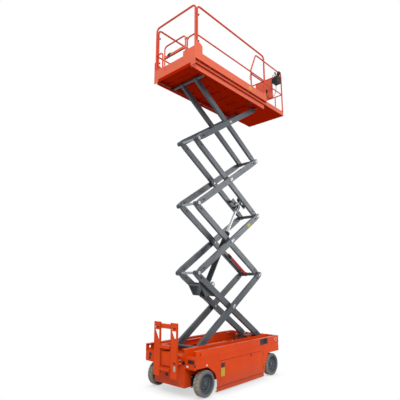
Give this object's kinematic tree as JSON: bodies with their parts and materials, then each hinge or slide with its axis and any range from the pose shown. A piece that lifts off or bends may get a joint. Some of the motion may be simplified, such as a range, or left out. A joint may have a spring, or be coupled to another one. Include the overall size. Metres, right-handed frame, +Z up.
{
  "type": "scissor lift",
  "caption": "Electric slab scissor lift, raised, with roll-out deck extension, entry ladder, guard rails and a single lift cylinder.",
  "frame": {"origin": "on the ground under the middle of the outline", "axes": "+X towards the steered end, +Y to the machine's left, +Z up"},
  "size_m": [3.312, 1.17, 6.6875],
  "materials": {
    "arm_paint": "satin",
    "bare_steel": "machined",
    "black_paint": "satin",
    "black_plastic": "matt",
    "chassis_paint": "satin",
    "chrome_rod": "polished",
    "pin_steel": "turned",
    "platform_paint": "satin",
    "red_paint": "satin",
    "rim_paint": "satin",
    "tyre_rubber": "matt"
  },
  "bodies": {
    "chassis": {"chassis_frame": "chassis_paint", "right_side_frame": "chassis_paint", "left_side_frame": "chassis_paint", "rear_axle": "black_paint", "front_axle": "black_paint", "ladder": "chassis_paint", "ground_controls": "black_plastic"},
    "right_tray": {"right_tray": "chassis_paint", "power_unit": "black_paint"},
    "left_tray": {"left_tray": "chassis_paint", "battery_pack": "black_plastic"},
    "right_guard": {"right_pothole_guard": "chassis_paint"},
    "left_guard": {"left_pothole_guard": "chassis_paint"},
    "right_knuckle": {"right_steering_knuckle": "black_paint"},
    "left_knuckle": {"left_steering_knuckle": "black_paint"},
    "front_right_wheel": {"front_right_rim": "rim_paint", "front_right_tyre": "tyre_rubber"},
    "front_left_wheel": {"front_left_rim": "rim_paint", "front_left_tyre": "tyre_rubber"},
    "rear_right_wheel": {"rear_right_rim": "rim_paint", "rear_right_tyre": "tyre_rubber"},
    "rear_left_wheel": {"rear_left_rim": "rim_paint", "rear_left_tyre": "tyre_rubber"},
    "inner_1": {"inner_arms_1": "arm_paint", "inner_pins_1": "pin_steel"},
    "outer_1": {"outer_arms_1": "arm_paint", "outer_pins_1": "pin_steel", "base_rollers": "bare_steel"},
    "inner_2": {"inner_arms_2": "arm_paint", "inner_pins_2": "pin_steel"},
    "outer_2": {"outer_arms_2": "arm_paint", "outer_pins_2": "pin_steel"},
    "inner_3": {"inner_arms_3": "arm_paint", "inner_pins_3": "pin_steel"},
    "outer_3": {"outer_arms_3": "arm_paint", "outer_pins_3": "pin_steel"},
    "inner_4": {"inner_arms_4": "arm_paint", "top_rollers": "bare_steel"},
    "outer_4": {"outer_arms_4": "arm_paint", "outer_pins_4": "pin_steel"},
    "barrel": {"lift_cylinder_barrel": "black_paint"},
    "rod": {"lift_cylinder_rod": "chrome_rod"},
    "prop": {"safety_prop": "red_paint"},
    "platform": {"platform_deck": "platform_paint", "right_guard_rail": "platform_paint", "left_guard_rail": "platform_paint", "rear_guard_rail": "platform_paint"},
    "gate": {"entry_gate": "platform_paint"},
    "extension": {"extension_deck": "platform_paint", "extension_rails": "platform_paint", "control_box": "black_plastic", "control_cable": "black_plastic"}
  },
  "joints": [
    {"name": "lift", "type": "hinge", "parent": "chassis", "child": "inner_1", "pos_m": [0.785, 0, 0.636], "axis": [0, 1, 0], "range_deg": [-29.7, 21.5]},
    {"name": "centre_pin_1", "type": "hinge", "parent": "inner_1", "child": "outer_1", "pos_m": [-0.14383, 0, 1.23919], "axis": [0, 1, 0], "range_deg": [-43, 59.4]},
    {"name": "knuckle_1", "type": "hinge", "parent": "outer_1", "child": "inner_2", "pos_m": [0.785, 0, 1.84238], "axis": [0, 1, 0], "range_deg": [-59.4, 43]},
    {"name": "centre_pin_2", "type": "hinge", "parent": "inner_2", "child": "outer_2", "pos_m": [-0.14383, 0, 2.44556], "axis": [0, 1, 0], "range_deg": [-43, 59.4]},
    {"name": "knuckle_2", "type": "hinge", "parent": "outer_2", "child": "inner_3", "pos_m": [0.785, 0, 3.04875], "axis": [0, 1, 0], "range_deg": [-59.4, 43]},
    {"name": "centre_pin_3", "type": "hinge", "parent": "inner_3", "child": "outer_3", "pos_m": [-0.14383, 0, 3.65194], "axis": [0, 1, 0], "range_deg": [-43, 59.4]},
    {"name": "knuckle_3", "type": "hinge", "parent": "outer_3", "child": "inner_4", "pos_m": [0.785, 0, 4.25513], "axis": [0, 1, 0], "range_deg": [-59.4, 43]},
    {"name": "centre_pin_4", "type": "hinge", "parent": "inner_4", "child": "outer_4", "pos_m": [-0.14383, 0, 4.85831], "axis": [0, 1, 0], "range_deg": [-43, 59.4]},
    {"name": "platform_pivot", "type": "hinge", "parent": "outer_4", "child": "platform", "pos_m": [0.785, 0, 5.4615], "axis": [0, 1, 0], "range_deg": [-29.7, 21.5]},
    {"name": "cylinder_trunnion", "type": "hinge", "parent": "inner_1", "child": "barrel", "pos_m": [-0.58045, 0, 1.64555], "axis": [0, 1, 0], "range_deg": [-57, 78]},
    {"name": "cylinder_stroke", "type": "slide", "parent": "barrel", "child": "rod", "axis": [0.5276, 0, 0.8495], "range_m": [-0.666, 0.67]},
    {"name": "safety_prop_hinge", "type": "hinge", "parent": "inner_2", "child": "prop", "pos_m": [0.785, 0.105, 1.84238], "axis": [0, -1, 0], "range_deg": [0, 123]},
    {"name": "gate_hinge", "type": "hinge", "parent": "platform", "child": "gate", "pos_m": [-1.459, -0.28, 5.5175], "axis": [0, 0, -1], "range_deg": [0, 90]},
    {"name": "deck_extension", "type": "slide", "parent": "platform", "child": "extension", "axis": [1, 0, 0], "range_m": [-0.85, 0]},
    {"name": "left_steering", "type": "hinge", "parent": "chassis", "child": "left_knuckle", "pos_m": [0.61, 0.42, 0.1905], "axis": [0, 0, 1], "range_deg": [-70, 70]},
    {"name": "right_steering", "type": "hinge", "parent": "chassis", "child": "right_knuckle", "pos_m": [0.61, -0.42, 0.1905], "axis": [0, 0, 1], "range_deg": [-70, 70]},
    {"name": "front_left_wheel_spin", "type": "hinge", "parent": "left_knuckle", "child": "front_left_wheel", "pos_m": [0.61, 0.5215, 0.1905], "axis": [0, 1, 0], "continuous": true},
    {"name": "rear_left_wheel_spin", "type": "hinge", "parent": "chassis", "child": "rear_left_wheel", "pos_m": [-1.24, 0.5215, 0.1905], "axis": [0, 1, 0], "continuous": true},
    {"name": "front_right_wheel_spin", "type": "hinge", "parent": "right_knuckle", "child": "front_right_wheel", "pos_m": [0.61, -0.5215, 0.1905], "axis": [0, 1, 0], "continuous": true},
    {"name": "rear_right_wheel_spin", "type": "hinge", "parent": "chassis", "child": "rear_right_wheel", "pos_m": [-1.24, -0.5215, 0.1905], "axis": [0, 1, 0], "continuous": true},
    {"name": "right_tray_hinge", "type": "hinge", "parent": "chassis", "child": "right_tray", "pos_m": [0.307, -0.57, 0.3], "axis": [0, 0, 1], "range_deg": [0, 90]},
    {"name": "left_tray_hinge", "type": "hinge", "parent": "chassis", "child": "left_tray", "pos_m": [0.307, 0.57, 0.3], "axis": [0, 0, -1], "range_deg": [0, 90]},
    {"name": "right_guard_drop", "type": "slide", "parent": "chassis", "child": "right_guard", "axis": [0, 0, -1], "range_m": [-0.075, 0]},
    {"name": "left_guard_drop", "type": "slide", "parent": "chassis", "child": "left_guard", "axis": [0, 0, -1], "range_m": [-0.075, 0]}
  ],
  "couplings": [
    {"joint": "centre_pin_1", "follows": "lift", "ratio": -2},
    {"joint": "knuckle_1", "follows": "lift", "ratio": 2},
    {"joint": "centre_pin_2", "follows": "lift", "ratio": -2},
    {"joint": "knuckle_2", "follows": "lift", "ratio": 2},
    {"joint": "centre_pin_3", "follows": "lift", "ratio": -2},
    {"joint": "knuckle_3", "follows": "lift", "ratio": 2},
    {"joint": "centre_pin_4", "follows": "lift", "ratio": -2},
    {"joint": "platform_pivot", "follows": "lift", "ratio": 1},
    {"joint": "cylinder_trunnion", "follows": "lift", "ratio": -2.6},
    {"joint": "cylinder_stroke", "follows": "lift", "m_per_rad": 1.283},
    {"joint": "right_steering", "follows": "left_steering", "ratio": 1}
  ]
}
